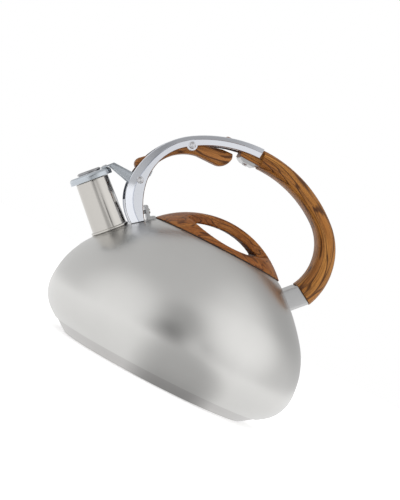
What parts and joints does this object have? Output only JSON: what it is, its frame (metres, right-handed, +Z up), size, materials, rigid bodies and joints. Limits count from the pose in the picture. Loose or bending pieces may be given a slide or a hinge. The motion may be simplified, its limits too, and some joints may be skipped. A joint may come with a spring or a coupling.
{
  "type": "stovetop whistling kettle",
  "caption": "Low domed steel stovetop kettle with a lift-out lid, a slanted spout with a whistle cap, and a loop handle whose trigger opens the cap.",
  "frame": {"origin": "middle of the flat base, on the body's axis", "axes": "+Z up, -X towards the spout, +X towards the rear end of the grip"},
  "size_m": [0.2435, 0.2214, 0.2075],
  "materials": {
    "body_steel": "satin, brushed round the body",
    "base_steel": "satin",
    "disc_aluminium": "plain",
    "spout_steel": "polished",
    "yoke_chrome": "bright",
    "bracket_steel": "satin",
    "screw_steel": "plain",
    "pin_steel": "polished",
    "wood_look": "wood-look print under a satin varnish",
    "seal_rubber": "matt",
    "seal_clear": "matt",
    "bush_brass": "plain",
    "cap_steel": "satin chrome",
    "whistle_grey": "satin"
  },
  "bodies": {
    "vessel": {"body_shell": "body_steel", "mouth_ring": "body_steel", "base_pan": "base_steel", "heat_disc": "disc_aluminium", "base_cap": "base_steel", "spout_tube": "spout_steel", "spout_collar": "spout_steel", "handle_yoke": "yoke_chrome", "tongue_plate": "bracket_steel", "tongue_screw": "screw_steel", "front_bracket": "bracket_steel", "foot_screw": "screw_steel", "grip": "wood_look", "rear_bracket": "bracket_steel", "bracket_screws": "screw_steel", "arm_pin": "pin_steel", "trigger_pin": "pin_steel"},
    "lid": {"lid_knob": "wood_look", "lid_plate": "base_steel", "lid_gasket": "seal_rubber", "knob_screws": "screw_steel"},
    "trigger": {"trigger": "wood_look", "trigger_bush": "bush_brass", "trigger_spring": "screw_steel"},
    "spout_cap": {"cap_cover": "cap_steel", "cap_arm": "cap_steel", "arm_rivets": "pin_steel", "cap_seal": "seal_clear", "whistle_cup": "spout_steel", "whistle_plate": "bush_brass", "whistle_disc": "whistle_grey"}
  },
  "joints": [
    {"name": "lid_lift", "type": "slide", "parent": "vessel", "child": "lid", "axis": [0, 0, 1], "range_m": [0, 0.035]},
    {"name": "trigger_pull", "type": "hinge", "parent": "vessel", "child": "trigger", "pos_m": [-0.0594, 0, 0.18225], "axis": [0, -1, 0], "range_deg": [0, 9], "stiffness_Nm_per_rad": 0.6, "springref_deg": -5.73},
    {"name": "cap_flip", "type": "hinge", "parent": "vessel", "child": "spout_cap", "pos_m": [-0.08395, 0, 0.13738], "axis": [0, 1, 0], "range_deg": [0, 40]}
  ],
  "couplings": [
    {"joint": "cap_flip", "follows": "trigger_pull", "ratio": 4.4}
  ]
}
